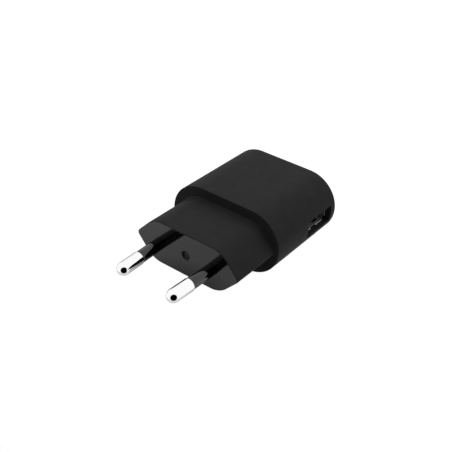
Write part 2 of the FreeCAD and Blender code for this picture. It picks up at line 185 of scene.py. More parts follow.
cover_low, cover_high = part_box("front_cover")
shell_low, shell_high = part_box("main_shell")
usb_low, usb_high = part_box("usb_shell")
tongue_low, tongue_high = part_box("usb_insulator")
BODY_X, BODY_Z = min(shell_high.x, -shell_low.x), shell_high.z
SHOULDER_BACK = shell_low.y
BODY_END = shell_high.y
PLUG_X, PLUG_Z = section("front_cover", FACE_ROUND * 0.9, 2 * MM)
SHOULDER = min(v.co.y for v in frame["nodes"]["front_cover"].data.vertices if abs(v.co.z) > PLUG_Z + MM)
USB_Y = (usb_low.y + usb_high.y) / 2
USB_HALF_Y = (usb_high.y - usb_low.y) / 2
USB_HALF_Z = usb_high.z
USB_FRONT = usb_high.x
USB_BACK = usb_low.x


# ---- mesh helpers ------------------------------------------------------------
def new_object(name, mesh):
    """Object in the scene for a mesh."""
    obj = bpy.data.objects.new(name, mesh)
    scene.collection.objects.link(obj)
    return obj


def arc(centre, radius, start, end, steps):
    """Points of an arc in the XZ plane, both ends included, angles in radians."""
    points = []
    for i in range(steps + 1):
        angle = start + (end - start) * i / steps
        points.append((centre[0] + radius * math.cos(angle), centre[1] + radius * math.sin(angle)))
    return points


def quarter_turns(steps=ROUND_STEPS):
    """Angles from 0 to a quarter turn, both included."""
    return [math.pi / 2 * step / steps for step in range(steps + 1)]


def stadium_outline(inset):
    """Body outline with half-round ends, drawn in by `inset`."""
    radius = BODY_Z - inset
    centre = BODY_X - BODY_Z
    right = arc((centre, 0), radius, -math.pi / 2, math.pi / 2, 3 * CORNER_STEPS)
    left = arc((-centre, 0), radius, math.pi / 2, 1.5 * math.pi, 3 * CORNER_STEPS)
    return right + left


def plug_outline(inset):
    """Six-sided plug outline with rounded corners, drawn in by `inset`."""
    apex_x = PLUG_X + PLUG_APEX * (1 / math.sin(PLUG_SLOPE) - 1) - inset / math.sin(PLUG_SLOPE)
    half_z = PLUG_Z - inset
    flat_x = apex_x - half_z / math.tan(PLUG_SLOPE)
    corner = PLUG_CORNER - inset
    apex = max(PLUG_APEX - inset, 0.4 * MM)
    normal = math.pi / 2 - PLUG_SLOPE
    cut = corner * math.tan(PLUG_SLOPE / 2)
    quarter = arc((apex_x - apex / math.sin(PLUG_SLOPE), 0), apex, 0, normal, CORNER_STEPS // 2)
    quarter += arc((flat_x - cut, half_z - corner), corner, normal, math.pi / 2, CORNER_STEPS)
    top = quarter + [(-x, z) for x, z in reversed(quarter)]
    return top + [(x, -z) for x, z in reversed(top[1:-1])]


def loft(rings):
    """Closed mesh through rings of points; every ring has the same number of points."""
    bm = bmesh.new()
    loops = [[bm.verts.new(point) for point in ring] for ring in rings]
    count = len(loops[0])
    for lower, upper in zip(loops, loops[1:]):
        for i in range(count):
            j = (i + 1) % count
            bm.faces.new((lower[i], lower[j], upper[j], upper[i]))
    bm.faces.new(list(reversed(loops[0])))
    bm.faces.new(loops[-1])
    bmesh.ops.recalc_face_normals(bm, faces=bm.faces)
    mesh = bpy.data.meshes.new("loft")
    bm.to_mesh(mesh)
    bm.free()
    return mesh


def along_y(outline, y):
    """Ring of 3-D points from an XZ outline."""
    return [(x, y, z) for x, z in outline]


def rounded_rectangle(half_a, half_b, radius, steps=6):
    """Outline of a rectangle with rounded corners, about its middle."""
    points = []
    for turn in range(4):
        a = half_a - radius if turn in (0, 3) else radius - half_a
        b = half_b - radius if turn in (0, 1) else radius - half_b
        points += arc((a, b), radius, turn * math.pi / 2, (turn + 1) * math.pi / 2, steps)
    return points


def along_x(outline, x, centre_y, centre_z=0.0):
    """Ring of 3-D points from a YZ outline."""
    return [(x, centre_y + a, centre_z + b) for a, b in outline]


def revolve(profile, steps=64):
    """Mesh of revolution about Y from (radius, y) pairs; a radius of 0 closes the end."""
    bm = bmesh.new()
    rings = []
    for radius, y in profile:
        if radius == 0:
            rings.append([bm.verts.new((0, y, 0))])
        else:
            rings.append([bm.verts.new((radius * math.cos(a), y, radius * math.sin(a)))
                          for a in (2 * math.pi * i / steps for i in range(steps))])
    for lower, upper in zip(rings, rings[1:]):
        for i in range(steps):
            j = (i + 1) % steps
            if len(lower) == 1:
                bm.faces.new((lower[0], upper[j], upper[i]))
            elif len(upper) == 1:
                bm.faces.new((lower[i], lower[j], upper[0]))
            else:
                bm.faces.new((lower[i], lower[j], upper[j], upper[i]))
    bmesh.ops.recalc_face_normals(bm, faces=bm.faces)
    mesh = bpy.data.meshes.new("revolved")
    bm.to_mesh(mesh)
    bm.free()
    return mesh


def combine(target, others, operation):
    """Boolean of an object with a list of helper objects, which are then removed."""
    for other in others:
        modifier = target.modifiers.new("combine", "BOOLEAN")
        modifier.operation = operation
        modifier.solver = "EXACT"
        modifier.object = other
    bpy.context.view_layer.update()
    evaluated = target.evaluated_get(bpy.context.evaluated_depsgraph_get())
    result = bpy.data.meshes.new_from_object(evaluated)
    target.modifiers.clear()
    target.data = result
    for other in others:
        bpy.data.objects.remove(other)


def soften(obj, width, angle=50, segments=3):
    """Smooth shading, with a small bevel on edges sharper than `angle` degrees."""
    for polygon in obj.data.polygons:
        polygon.use_smooth = True
    bevel = obj.modifiers.new("edge", "BEVEL")
    bevel.width = width
    bevel.segments = segments
    bevel.limit_method = "ANGLE"
    bevel.angle_limit = math.radians(angle)
    bevel.harden_normals = True
    keep_flats(obj)


def keep_flats(obj, angle=35):
    """Smooth shading that leaves flat faces flat and edges over `angle` degrees sharp."""
    obj.data.set_sharp_from_angle(angle=math.radians(angle))
    for polygon in obj.data.polygons:
        polygon.use_smooth = True
    normals = obj.modifiers.new("flats", "WEIGHTED_NORMAL")
    normals.keep_sharp = True
    normals.weight = 100


def lean_matrix(side):
    """From the Y axis to the left (-1) or right (+1) pin's axis."""
    return Matrix.Translation(mount_root(side)) @ Matrix.Rotation(-side * PIN_LEAN, 4, "Z")


def mount_root(side):
    """Where a pin's axis meets the front face, from its mount."""
    name = "pin_left" if side < 0 else "pin_right"
    mount = next(m for m in frame["record"]["mounts"] if m["name"] == name)
    position, axis = Vector(mount["pos_m"]), Vector(mount["axis"])
    return position - axis * (position.y / axis.y)


# ---- materials ---------------------------------------------------------------
class Nodes:
    """Short hand for building a material's node tree."""

    def __init__(self, name):
        self.material = bpy.data.materials.new(name)
        self.material.use_nodes = True
        self.tree = self.material.node_tree
        self.shader = self.tree.nodes["Principled BSDF"]
        self.coordinates = self.add("ShaderNodeTexCoord").outputs["Object"]

    def add(self, kind, **values):
        node = self.tree.nodes.new(kind)
        for key, value in values.items():
            setattr(node, key, value)
        return node

    def link(self, output, socket):
        self.tree.links.new(output, socket)

    def noise(self, scale, detail=4.0, roughness=0.55, stretch=None):
        """Noise over the surface; `scale` is in features per metre."""
        source = self.coordinates
        if stretch:
            mapping = self.add("ShaderNodeMapping")
            mapping.inputs["Scale"].default_value = stretch
            self.link(source, mapping.inputs["Vector"])
            source = mapping.outputs["Vector"]
        node = self.add("ShaderNodeTexNoise")
        node.inputs["Scale"].default_value = scale
        node.inputs["Detail"].default_value = detail
        node.inputs["Roughness"].default_value = roughness
        self.link(source, node.inputs["Vector"])
        return node.outputs["Fac"]

    def ramp(self, value, low, high, low_at=0.3, high_at=0.7):
        """Numbers between low and high as `value` goes from low_at to high_at."""
        node = self.add("ShaderNodeMapRange")
        node.inputs["From Min"].default_value = low_at
        node.inputs["From Max"].default_value = high_at
        node.inputs["To Min"].default_value = low
        node.inputs["To Max"].default_value = high
        self.link(value, node.inputs["Value"])
        return node.outputs["Result"]

    def math(self, operation, a, b):
        node = self.add("ShaderNodeMath", operation=operation)
        for socket, value in zip(node.inputs, (a, b)):
            if isinstance(value, (int, float)):
                socket.default_value = value
            else:
                self.link(value, socket)
        return node.outputs["Value"]

    def mix(self, factor, first, second):
        """Colour between two colours or colour outputs."""
        node = self.add("ShaderNodeMix", data_type="RGBA")
        self.link(factor, node.inputs["Factor"])
        for socket, value in ((node.inputs[6], first), (node.inputs[7], second)):
            if isinstance(value, tuple):
                socket.default_value = (*value, 1.0)
            else:
                self.link(value, socket)
        return node.outputs[2]

    def bump(self, height, strength, distance, under=None):
        """Bump on the surface, stacked on an earlier bump if one is given."""
        node = self.add("ShaderNodeBump")
        node.inputs["Strength"].default_value = strength
        node.inputs["Distance"].default_value = distance
        self.link(height, node.inputs["Height"])
        if under:
            self.link(under, node.inputs["Normal"])
        return node.outputs["Normal"]

    def edge(self, radius=EDGE_WEAR):
        """1 right on an edge, 0 from about `radius` off it."""
        rounded = self.add("ShaderNodeBevel", samples=4)
        rounded.inputs["Radius"].default_value = radius
        flat = self.add("ShaderNodeNewGeometry").outputs["Normal"]
        dot = self.add("ShaderNodeVectorMath", operation="DOT_PRODUCT")
        self.link(rounded.outputs["Normal"], dot.inputs[0])
        self.link(flat, dot.inputs[1])
        return self.ramp(dot.outputs["Value"], 1.0, 0.0, 0.86, 0.98)

    def set(self, **values):
        for key, value in values.items():
            socket = self.shader.inputs[key.replace("_", " ")]
            if hasattr(value, "is_linked"):
                self.link(value, socket)
            else:
                socket.default_value = value


def plastic(name, dark, light, roughness, spread, shine, grain, grain_depth):
    """Moulded plastic: cloudy colour, uneven gloss, spark-eroded grain and rubbed edges."""
    n = Nodes(name)
    cloud = n.ramp(n.noise(260, 5), 0.0, 1.0)
    colour = n.mix(cloud, dark, light)
    worn = n.math("MULTIPLY", n.edge(), n.ramp(n.noise(900, 3), 0.1, 0.5))
    colour = n.mix(worn, colour, tuple(min(1.0, 1.6 * c + 0.004) for c in light))
    gloss = n.ramp(n.noise(420, 4), roughness - spread, roughness + spread)
    smudge = n.ramp(n.noise(95, 2), -0.4 * spread, 0.4 * spread)
    gloss = n.math("ADD", gloss, smudge)
    gloss = n.math("SUBTRACT", gloss, n.math("MULTIPLY", worn, 0.06))
    fine = n.bump(n.noise(grain, 2), 0.25, grain_depth)
    coarse = n.bump(n.noise(grain * 0.08, 2), 0.12, grain_depth * 4, fine)
    n.set(Base_Color=colour, Roughness=gloss, Normal=coarse, IOR=1.5, Specular_IOR_Level=shine)
    return n.material


def metal(name, colour, tint, roughness, spread, stretch, lines, line_depth, rim_shade_tint=1.0, metallic=1.0):
    """Bright metal with fine directional lines, cloudy tint and uneven polish."""
    n = Nodes(name)
    shade = n.mix(n.ramp(n.noise(700, 4), 0.0, 1.0), colour, tint)
    gloss = n.ramp(n.noise(lines * 0.3, 3, stretch=stretch), roughness - spread, roughness + spread)
    ridges = n.bump(n.noise(lines, 2, stretch=stretch), 0.2, line_depth)
    # rim_shade_tint below 1 darkens the reflection on grazing edges: painted shade along the rims
    n.set(Base_Color=shade, Roughness=gloss, Normal=ridges, Metallic=metallic,
          Specular_Tint=(rim_shade_tint, rim_shade_tint, rim_shade_tint, 1.0))
    return n.material


def polished_face_material():
    """Mirror-polished plastic of the plug's front face, very slightly wavy, with hairline scuffs."""
    n = Nodes("polished_face")
    colour = n.mix(n.ramp(n.noise(300, 4), 0.0, 1.0), (0.0035, 0.0035, 0.0036), (0.006, 0.006, 0.006))
    scuff = n.ramp(n.noise(2600, 3, stretch=(1.0, 1.0, 0.12)), 0.0, 0.05, 0.62, 0.8)
    gloss = n.math("ADD", n.ramp(n.noise(500, 4), 0.03, 0.06), scuff)
    wave = n.bump(n.noise(120, 2), 0.05, 6e-6)
    n.set(Base_Color=colour, Roughness=gloss, Normal=wave, IOR=1.53)
    return n.material


CASING_DARK = (0.0240, 0.0240, 0.0242)
CASING_LIGHT = (0.0282, 0.0282, 0.0285)
RECESS_DARK = (0.045, 0.045, 0.0455)
RECESS_LIGHT = (0.055, 0.055, 0.0555)
BLACK = (0.0006, 0.0006, 0.0006)
SOFT_BLACK = (0.0014, 0.0014, 0.0014)
casing = plastic("casing", CASING_DARK, CASING_LIGHT, 0.50, 0.04, 0.035, 5200, 4e-6)
recess_matt = plastic("recess_matt", RECESS_DARK, RECESS_LIGHT, 0.55, 0.04, 0.2, 6400, 5e-6)
face_polish = polished_face_material()
sleeve_plastic = plastic("sleeve", BLACK, SOFT_BLACK, 0.02, 0.005, 0.72, 3800, 1e-7)
connector = plastic("connector", (0.012, 0.012, 0.012), (0.02, 0.02, 0.02), 0.42, 0.05, 0.5, 6000, 3e-6)
# the nickel's rim tint of 0.8 paints a dark shade line along the pins' grazing edges
nickel = metal("nickel", (0.97, 0.97, 0.97), (0.955, 0.955, 0.957), 0.04, 0.015, (1, 12, 1), 1800, 3e-7, 0.8)
tin = metal("tin", (0.47, 0.47, 0.47), (0.39, 0.39, 0.40), 0.42, 0.06, (1, 9, 9), 900, 1e-6, 1.0, 0.55)
gold = metal("gold", (0.80, 0.60, 0.30), (0.70, 0.50, 0.24), 0.35, 0.05, (1, 10, 10), 1200, 8e-7)


# ---- housing -----------------------------------------------------------------
def make_body():
    """Cup-shaped rear housing with a rounded rear edge and the port's cut-out."""
    rings = [along_y(stadium_outline(SEAM), SHOULDER_BACK)]
    rings.append(along_y(stadium_outline(0), SHOULDER_BACK + SEAM))
    straight = BODY_END - REAR_ROUND - SHOULDER_BACK
    for part in (0.25, 0.5, 0.75):
        rings.append(along_y(stadium_outline(0), SHOULDER_BACK + straight * part))
    for turn in quarter_turns():
        inset = REAR_ROUND * (1 - math.cos(turn))
        rings.append(along_y(stadium_outline(inset), BODY_END - REAR_ROUND * (1 - math.sin(turn))))
    body = new_object("body_shell", loft(rings))
    inner = [along_y(stadium_outline(WALL), y) for y in (SHOULDER_BACK - MM, BODY_END - REAR_WALL)]
    cutters = [new_object("hollow", loft(inner))]
    port_bottom = -USB_HALF_Z - PORT_PLAY
    outline = rounded_rectangle(PORT_WIDTH / 2, (PORT_TOP - port_bottom) / 2, PORT_CORNER)
    middle = (PORT_TOP + port_bottom) / 2
    port = [along_x(outline, x, USB_Y, middle) for x in (USB_FRONT - PORT_REACH, BODY_X + MM)]
    cutters.append(new_object("port", loft(port)))
    outline = rounded_rectangle(USB_HALF_Y + SEAT_PLAY, USB_HALF_Z + SEAT_PLAY, SEAT_CORNER)
    seat = [along_x(outline, x, USB_Y) for x in (USB_FRONT - SEAT_REACH, USB_FRONT + PORT_PLAY)]
    cutters.append(new_object("seat", loft(seat)))
    combine(body, cutters, "DIFFERENCE")
    combine(body, [make_ledge(side) for side in (-1, 1)], "UNION")
    soften(body, BODY_EDGE)
    body.data.materials.append(casing)
    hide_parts("main_shell")
    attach(body, "charger")


def leaning_pair(name, profile):
    """The same turned shape on both pins' axes."""
    pair = []
    for side in (-1, 1):
        turned = new_object(name, revolve(profile, 64))
        turned.data.transform(lean_matrix(side))
        pair.append(turned)
    return pair


def make_ledge(side):
    """Ledge along one side wall, under the board, sunk a little into the walls."""
    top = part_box("circuit_board")[0].z
    front, rear = cover_high.y + 0.2 * MM, BODY_END - REAR_WALL + 0.2 * MM
    outline = [(side * LEDGE_INNER, top - LEDGE_HEIGHT), (side * BODY_X, top - LEDGE_HEIGHT),
               (side * BODY_X, top), (side * LEDGE_INNER, top)]
    ledge = new_object("ledge", loft([along_y(outline, y) for y in (front, rear)]))
    lining = loft([along_y(stadium_outline(WALL - 0.2 * MM), y) for y in (front - MM, rear + MM)])
    combine(ledge, [new_object("lining", lining)], "INTERSECT")
    return ledge


def make_plug():
    """Plug section with its polished face, root fillet and shoulder plate."""
    rings = []
    for turn in quarter_turns():
        outline = plug_outline(FACE_ROUND * (1 - math.sin(turn)))
        rings.append(along_y(outline, FACE_ROUND * (1 - math.cos(turn))))
    for part in (0.33, 0.66):
        rings.append(along_y(plug_outline(0), FACE_ROUND + (SHOULDER - FACE_ROUND) * part))
    for turn in quarter_turns():
        flare = -ROOT_FILLET * (1 - math.cos(turn))
        rings.append(along_y(plug_outline(flare), SHOULDER - ROOT_FILLET * (1 - math.sin(turn))))
    rings.append(along_y(plug_outline(-ROOT_FILLET), SHOULDER + PLATE_OVERLAP))
    plug = new_object("plug_section", loft(rings))
    plate = [along_y(stadium_outline(inset), SHOULDER + depth) for inset, depth in SHOULDER_ROUND]
    plate.append(along_y(stadium_outline(0), SHOULDER_BACK - SEAM))
    plate.append(along_y(stadium_outline(SEAM), SHOULDER_BACK))
    combine(plug, [new_object("plate", loft(plate))], "UNION")
    spigot = [along_y(stadium_outline(WALL + SPIGOT_PLAY), y) for y in (SHOULDER_BACK - MM / 2, cover_high.y)]
    combine(plug, [new_object("spigot", loft(spigot))], "UNION")
    hollow = [along_y(stadium_outline(WALL + SPIGOT_INSIDE), y) for y in (SHOULDER_BACK, cover_high.y + MM)]
    cavity = [along_y(plug_outline(PLUG_WALL), y) for y in (FACE_THICKNESS, SHOULDER_BACK + MM)]
    cutters = [new_object("hollow", loft(hollow)), new_object("cavity", loft(cavity))]
    recess = [(0, -MM), (RECESS_RADIUS, -MM), (RECESS_RADIUS, RECESS_DEPTH - RECESS_CHAMFER_DEPTH),
              (RECESS_RADIUS - RECESS_CHAMFER, RECESS_DEPTH), (0, RECESS_DEPTH)]
    cutters.append(new_object("recess", revolve(recess, 48)))
    combine(plug, cutters, "DIFFERENCE")
    boss_front = FACE_THICKNESS / 2
    boss = [(0, boss_front), (BOSS_RADIUS, boss_front), (BOSS_RADIUS, BOSS_END), (0, BOSS_END)]
    combine(plug, leaning_pair("boss", boss), "UNION")
    bore = SLEEVE_RADIUS + SLEEVE_PLAY
    pocket = COLLAR_RADIUS + COLLAR_PLAY
    seat = [(0, -2 * MM), (bore, -2 * MM), (bore, COLLAR_SEAT), (pocket, COLLAR_SEAT),
            (pocket, BOSS_END + MM), (0, BOSS_END + MM)]
    combine(plug, leaning_pair("pin_seat", seat), "DIFFERENCE")
    soften(plug, PLUG_EDGE)
    plug.data.materials.append(casing)
    plug.data.materials.append(face_polish)
    plug.data.materials.append(recess_matt)
    for polygon in plug.data.polygons:
        centre = polygon.center
        if polygon.normal.y < -0.99 and centre.y < 0.05 * MM:
            polygon.material_index = 1
        elif math.hypot(centre.x, centre.z) < RECESS_RADIUS and centre.y < FACE_THICKNESS / 2:
            polygon.material_index = 2
    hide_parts("front_cover")
    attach(plug, "charger")


# ---- pins --------------------------------------------------------------------
def sleeve_end(side):
    """Where a sleeve ends along its pin's axis, from its box."""
    low_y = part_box("pin_sleeve_left" if side < 0 else "pin_sleeve_right")[0].y
    return (low_y + SLEEVE_RADIUS * math.sin(PIN_LEAN)) / math.cos(PIN_LEAN)


def make_pin(side):
    """Nickel-plated pin with a domed tip and a thinner shank under the sleeve."""
    name = "left" if side < 0 else "right"
    tip_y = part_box("pin_" + name)[0].y
    length = (-tip_y - PIN_RADIUS) / math.cos(PIN_LEAN) + PIN_RADIUS
    profile = [(0, -length)]
    for turn in quarter_turns(TIP_STEPS)[1:]:
        profile.append((PIN_RADIUS * math.sin(turn), PIN_RADIUS - length - PIN_RADIUS * math.cos(turn)))
    step_y = sleeve_end(side)
    dome_y = profile[-1][1]
    for part in (0.3, 0.6, 0.9):
        profile.append((PIN_RADIUS, dome_y + (step_y - dome_y) * part))
    profile += [(PIN_RADIUS, step_y - 0.05 * MM), (PIN_RADIUS - 0.05 * MM, step_y),
                (SHANK_RADIUS, step_y + 0.01 * MM)]
    profile += [(SHANK_RADIUS, COLLAR_FRONT - 0.01 * MM), (COLLAR_RADIUS, COLLAR_FRONT),
                (COLLAR_RADIUS, COLLAR_BACK), (SHANK_RADIUS, COLLAR_BACK + 0.1 * MM),
                (SHANK_RADIUS, SHANK_END), (TAIL_RADIUS, TAIL_END), (0, TAIL_END)]
    pin = new_object("contact_pin_" + name, revolve(profile, 72))
    pin.data.transform(lean_matrix(side))
    keep_flats(pin, 20)
    pin.data.materials.append(nickel)
    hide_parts("pin_" + name)
    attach(pin, "charger")


def make_sleeve(side):
    """Insulating sleeve with a rounded outer end, seated against the pin's collar."""
    name = "left" if side < 0 else "right"
    r = SLEEVE_RADIUS
    end = sleeve_end(side) + 0.01 * MM
    inner = SHANK_RADIUS + COLLAR_PLAY
    profile = [(inner, end), (r - SLEEVE_ROUND, end),
               (r - SLEEVE_ROUND_MIDDLE, end + SLEEVE_ROUND_MIDDLE), (r, end + SLEEVE_ROUND)]
    profile += [(r, end * part) for part in (0.75, 0.5, 0.25)]
    profile += [(r, COLLAR_SEAT - 0.2 * MM), (r - 0.05 * MM, COLLAR_SEAT), (inner, COLLAR_SEAT), (inner, end)]
    sleeve = new_object("insulating_sleeve_" + name, revolve(profile, 72))
    sleeve.data.transform(lean_matrix(side))
    keep_flats(sleeve)
    sleeve.data.materials.append(sleeve_plastic)
    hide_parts("pin_sleeve_" + name)
    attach(sleeve, "charger")


# ---- USB receptacle ----------------------------------------------------------
def make_usb_shell():
    """Folded metal shell whose retention springs are cut from its wide sides."""
    outer = rounded_rectangle(USB_HALF_Y, USB_HALF_Z, USB_CORNER, 8)
    inner = rounded_rectangle(USB_HALF_Y - USB_METAL, USB_HALF_Z - USB_METAL, USB_CORNER_INSIDE, 8)
    shell = new_object("receptacle_shell", loft([along_x(outer, x, USB_Y) for x in (USB_BACK, USB_FRONT)]))
    hollow = [along_x(inner, x, USB_Y) for x in (USB_BACK - MM, USB_FRONT - LIP)]
    for turn in (0.35, 0.7, 1.0):
        flare = LIP * (1 - math.cos(turn * math.pi / 2))
        wider = rounded_rectangle(USB_HALF_Y - USB_METAL + flare, USB_HALF_Z - USB_METAL + flare,
                                  USB_CORNER_INSIDE + flare, 8)
        hollow.append(along_x(wider, USB_FRONT - LIP * (1 - math.sin(turn * math.pi / 2)), USB_Y))
    hollow.append(along_x(wider, USB_FRONT + MM, USB_Y))
    cutters = [new_object("hollow", loft(hollow))]
    gap = rounded_rectangle(LIP_GAP / 2, USB_HALF_Z + MM, 0.1 * MM, 2)
    corner = rounded_rectangle(LIP_CORNER, LIP_CORNER, 0.1 * MM, 2)
    reliefs = [(gap, USB_Y, 0.0)]
    reliefs += [(corner, USB_Y + a * USB_HALF_Y, b * USB_HALF_Z) for a in (-1, 1) for b in (-1, 1)]
    for outline, y, z in reliefs:
        rings = [along_x(outline, x, y, z) for x in (USB_FRONT - LIP_DEPTH, USB_FRONT + MM)]
        cutters.append(new_object("relief", loft(rings)))
    root = USB_FRONT - SPRING_ROOT
    half_window = (SPRING_ROOT - WINDOW_FRONT) / 2
    for side in (-1, 1):
        for y in (USB_Y - SPRING_OFFSET, USB_Y + SPRING_OFFSET):
            window = rounded_rectangle(half_window, WINDOW_HALF_WIDTH, 0.3 * MM, 4)
            rings = [[(root + half_window + a, y + b, side * USB_HALF_Z + height) for a, b in window]
                     for height in (-2 * USB_METAL, 2 * USB_METAL)]
            cutters.append(new_object("window", loft(rings)))
    combine(shell, cutters, "DIFFERENCE")
    soften(shell, USB_EDGE)
    shell.data.materials.append(tin)
    springs = [make_spring(side, USB_Y + offset, root)
               for side in (-1, 1) for offset in (-SPRING_OFFSET, SPRING_OFFSET)]
    pieces = [shell] + springs
    for piece in pieces:
        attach(piece, "charger")
    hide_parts("usb_shell")


def make_spring(side, y, root):
    """One retention spring: a strip that dips into the receptacle and turns out at its end."""
    steps = 24
    base = side * (USB_HALF_Z - USB_METAL / 2)
    rings = []
    for i in range(steps + 1):
        part = i / steps
        dip = -side * SPRING_DIP * math.sin(math.pi * min(1.0, part * 1.08)) ** 1.5
        half_width = (1.05 - 0.15 * part) * MM
        x = root + SPRING_LENGTH * part - 0.1 * MM
        z = base + dip
        half = USB_METAL / 2
        rings.append([(x, y - half_width, z - half), (x, y + half_width, z - half),
                      (x, y + half_width, z + half), (x, y - half_width, z + half)])
    name = "retention_spring_" + ("low" if side < 0 else "high") + ("_a" if y < USB_Y else "_b")
    spring = new_object(name, loft(rings))
    soften(spring, SPRING_EDGE, 60, 2)
    spring.data.materials.append(tin)
    return spring


def make_tongue():
    """Receptacle block and tongue with four grooves for the contact springs."""
    base_outline = rounded_rectangle(tongue_high.y - USB_Y, tongue_high.z, BLOCK_CORNER, 6)
    base_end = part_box("usb_contact_power")[0].x - 0.3 * MM
    tongue = new_object("receptacle_tongue", loft([along_x(base_outline, x, USB_Y)
                                                   for x in (tongue_low.x, base_end)]))
    slab = rounded_rectangle(TONGUE_HALF_WIDTH, TONGUE_HALF_HEIGHT, 0.15 * MM, 4)
    tip = rounded_rectangle(TONGUE_HALF_WIDTH - 0.2 * MM, TONGUE_HALF_HEIGHT - 0.2 * MM, 0.1 * MM, 4)
    rings = [along_x(slab, x, USB_Y, TONGUE_MIDDLE) for x in (base_end - 0.1 * MM, tongue_high.x - 0.25 * MM)]
    rings.append(along_x(tip, tongue_high.x, USB_Y, TONGUE_MIDDLE))
    combine(tongue, [new_object("slab", loft(rings))], "UNION")
    cutters = []
    for name in CONTACTS:
        low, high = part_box(name)
        y = (low.y + high.y) / 2
        outline = rounded_rectangle(GROOVE_HALF_WIDTH, GROOVE_HALF_HEIGHT, 0.1 * MM, 2)
        groove = [along_x(outline, x, y, GROOVE_MIDDLE) for x in (base_end + 0.01 * MM, high.x + 0.4 * MM)]
        cutters.append(new_object("groove", loft(groove)))
    combine(tongue, cutters, "DIFFERENCE")
    soften(tongue, USB_EDGE)
    tongue.data.materials.append(connector)
    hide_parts("usb_insulator")
    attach(tongue, "charger")


def make_contact(node):
    """One contact spring: a smooth strip with a rounded bulge and a narrower turned-up tip."""
    low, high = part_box(node)
    half = CONTACT_HALF_THICKNESS
    y = (low.y + high.y) / 2
    start, end = low.x, high.x
    rings = []
    steps = 40
    for i in range(steps + 1):
        part = i / steps
        for (a, za), (b, zb) in zip(CONTACT_CURVE, CONTACT_CURVE[1:]):
            if a <= part <= b:
                t = (part - a) / (b - a)
                t = t * t * (3 - 2 * t)
                z = (za + (zb - za) * t) * MM
                break
        width = (0.5 - max(0.0, part - CONTACT_TIP)) * MM
        x = start + (end - start) * part
        rings.append([(x, y - width, z - half), (x, y + width, z - half), (x, y + width, z + half),
                      (x, y - width, z + half)])
    contact = new_object(node.replace("usb_contact", "spring_contact"), loft(rings))
    soften(contact, CONTACT_EDGE, 60, 2)
    contact.data.materials.append(gold)
    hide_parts(node)
    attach(contact, node.replace("usb_contact_", "") + "_spring")


# ---- pieces inside the housing ----------------------------------------------
INNER_LOOKS = {
    "inner_plastic": plastic("inner_plastic", (0.03, 0.03, 0.03), (0.05, 0.05, 0.05),
                             0.5, 0.05, 0.5, 5000, 4e-6),
    "board": plastic("board", (0.006, 0.055, 0.02), (0.009, 0.08, 0.03), 0.28, 0.06, 0.5, 2500, 3e-6),
    "capacitor_sleeve": plastic("capacitor_sleeve", (0.008, 0.012, 0.03), (0.012, 0.018, 0.045), 0.25, 0.05,
                                0.5, 1500, 3e-6),
    "capacitor_can": metal("capacitor_can", (0.8, 0.8, 0.81), (0.7, 0.7, 0.72), 0.3, 0.08, (1, 1, 8),
                           900, 2e-6),
    "ferrite": plastic("ferrite", (0.03, 0.03, 0.032), (0.05, 0.05, 0.052), 0.6, 0.06, 0.5, 4000, 8e-6),
    "blue_epoxy": plastic("blue_epoxy", (0.02, 0.07, 0.25), (0.03, 0.1, 0.33), 0.22, 0.05, 0.5, 1200, 6e-6),
    "resistor_body": plastic("resistor_body", (0.2, 0.35, 0.2), (0.26, 0.42, 0.26),
                             0.35, 0.06, 0.5, 2500, 5e-6),
    "copper_wire": metal("copper_wire", (0.75, 0.3, 0.14), (0.6, 0.22, 0.1), 0.28, 0.06, (12, 1, 1),
                         900, 2e-5),
    "yellow_tape": plastic("yellow_tape", (0.6, 0.4, 0.03), (0.72, 0.5, 0.05), 0.25, 0.05, 0.5, 900, 6e-6),
    "chip_epoxy": plastic("chip_epoxy", (0.012, 0.012, 0.013), (0.02, 0.02, 0.021),
                          0.55, 0.05, 0.5, 6000, 5e-6),
    "brass_strip": metal("brass_strip", (0.8, 0.6, 0.28), (0.7, 0.5, 0.22), 0.25, 0.06, (1, 8, 1),
                         900, 2e-6),
    "tinned_steel": tin,
    "contact_gold": gold,
}


def dress_inner_nodes():
    """Materials for the CAD nodes that stay as they are, by the record's slots."""
    for part in frame["record"]["subparts"]:
        look = INNER_LOOKS.get(part["material_slot"])
        if look:
            node = frame["nodes"][part["node"]]
            node.data.materials.clear()
            node.data.materials.append(look)


# ---- stage -------------------------------------------------------------------
def glowing(name, bm, tone, strength, seen_by, fade=None):
    """Stage piece of one tone that also glows, for some kinds of rays only; it takes over the bmesh.

    `fade` is the distances from its middle between which it thins out to nothing.
    """
    mesh = bpy.data.meshes.new(name)
    bm.to_mesh(mesh)
    bm.free()
    piece = new_object(name, mesh)
    n = Nodes(name)
    n.set(Base_Color=(tone, tone, tone, 1.0), Roughness=0.9, Specular_IOR_Level=0.0,
          Emission_Color=(1.0, 1.0, 1.0, 1.0), Emission_Strength=strength)
    if fade:
        distance = n.add("ShaderNodeVectorMath", operation="LENGTH")
        n.link(n.coordinates, distance.inputs[0])
        n.set(Alpha=n.ramp(distance.outputs["Value"], 1.0, 0.0, *fade))
    if "diffuse" not in seen_by:
        n.material.cycles.emission_sampling = "NONE"
    piece.data.materials.append(n.material)
    for ray in ("camera", "diffuse", "glossy", "transmission", "volume_scatter", "shadow"):
        setattr(piece, "visible_" + ray, ray in seen_by)
    return piece


def level_sheet():
    """Large level square about the origin."""
    bm = bmesh.new()
    bmesh.ops.create_grid(bm, x_segments=4, y_segments=4, size=STAGE_REACH)
    return bm


def make_floor():
    """Plain white table, a dimmer sheet that lights the charger from below, and a painted shade on the table
    that only reflections see.
    """
    table = cad_box[0][2]
    floor = glowing("floor", level_sheet(), 0.1, FLOOR_GLOW, ("camera", "shadow"))
    floor.location.z = table
    fill = glowing("table_light", level_sheet(), 0.0, FLOOR_FILL, ("diffuse", "shadow"))
    fill.location.z = table - 0.1 * MM
    # painted shade: grey glowing patch, seen only in reflections, for the charger's shadow on the table
    shade = glowing("mirrored_shade", level_sheet(), 0.0, SHADE_TONE, ("glossy",), SHADE_FADE)
    shade.location = (0.0, SHADE_Y, table + 0.05 * MM)


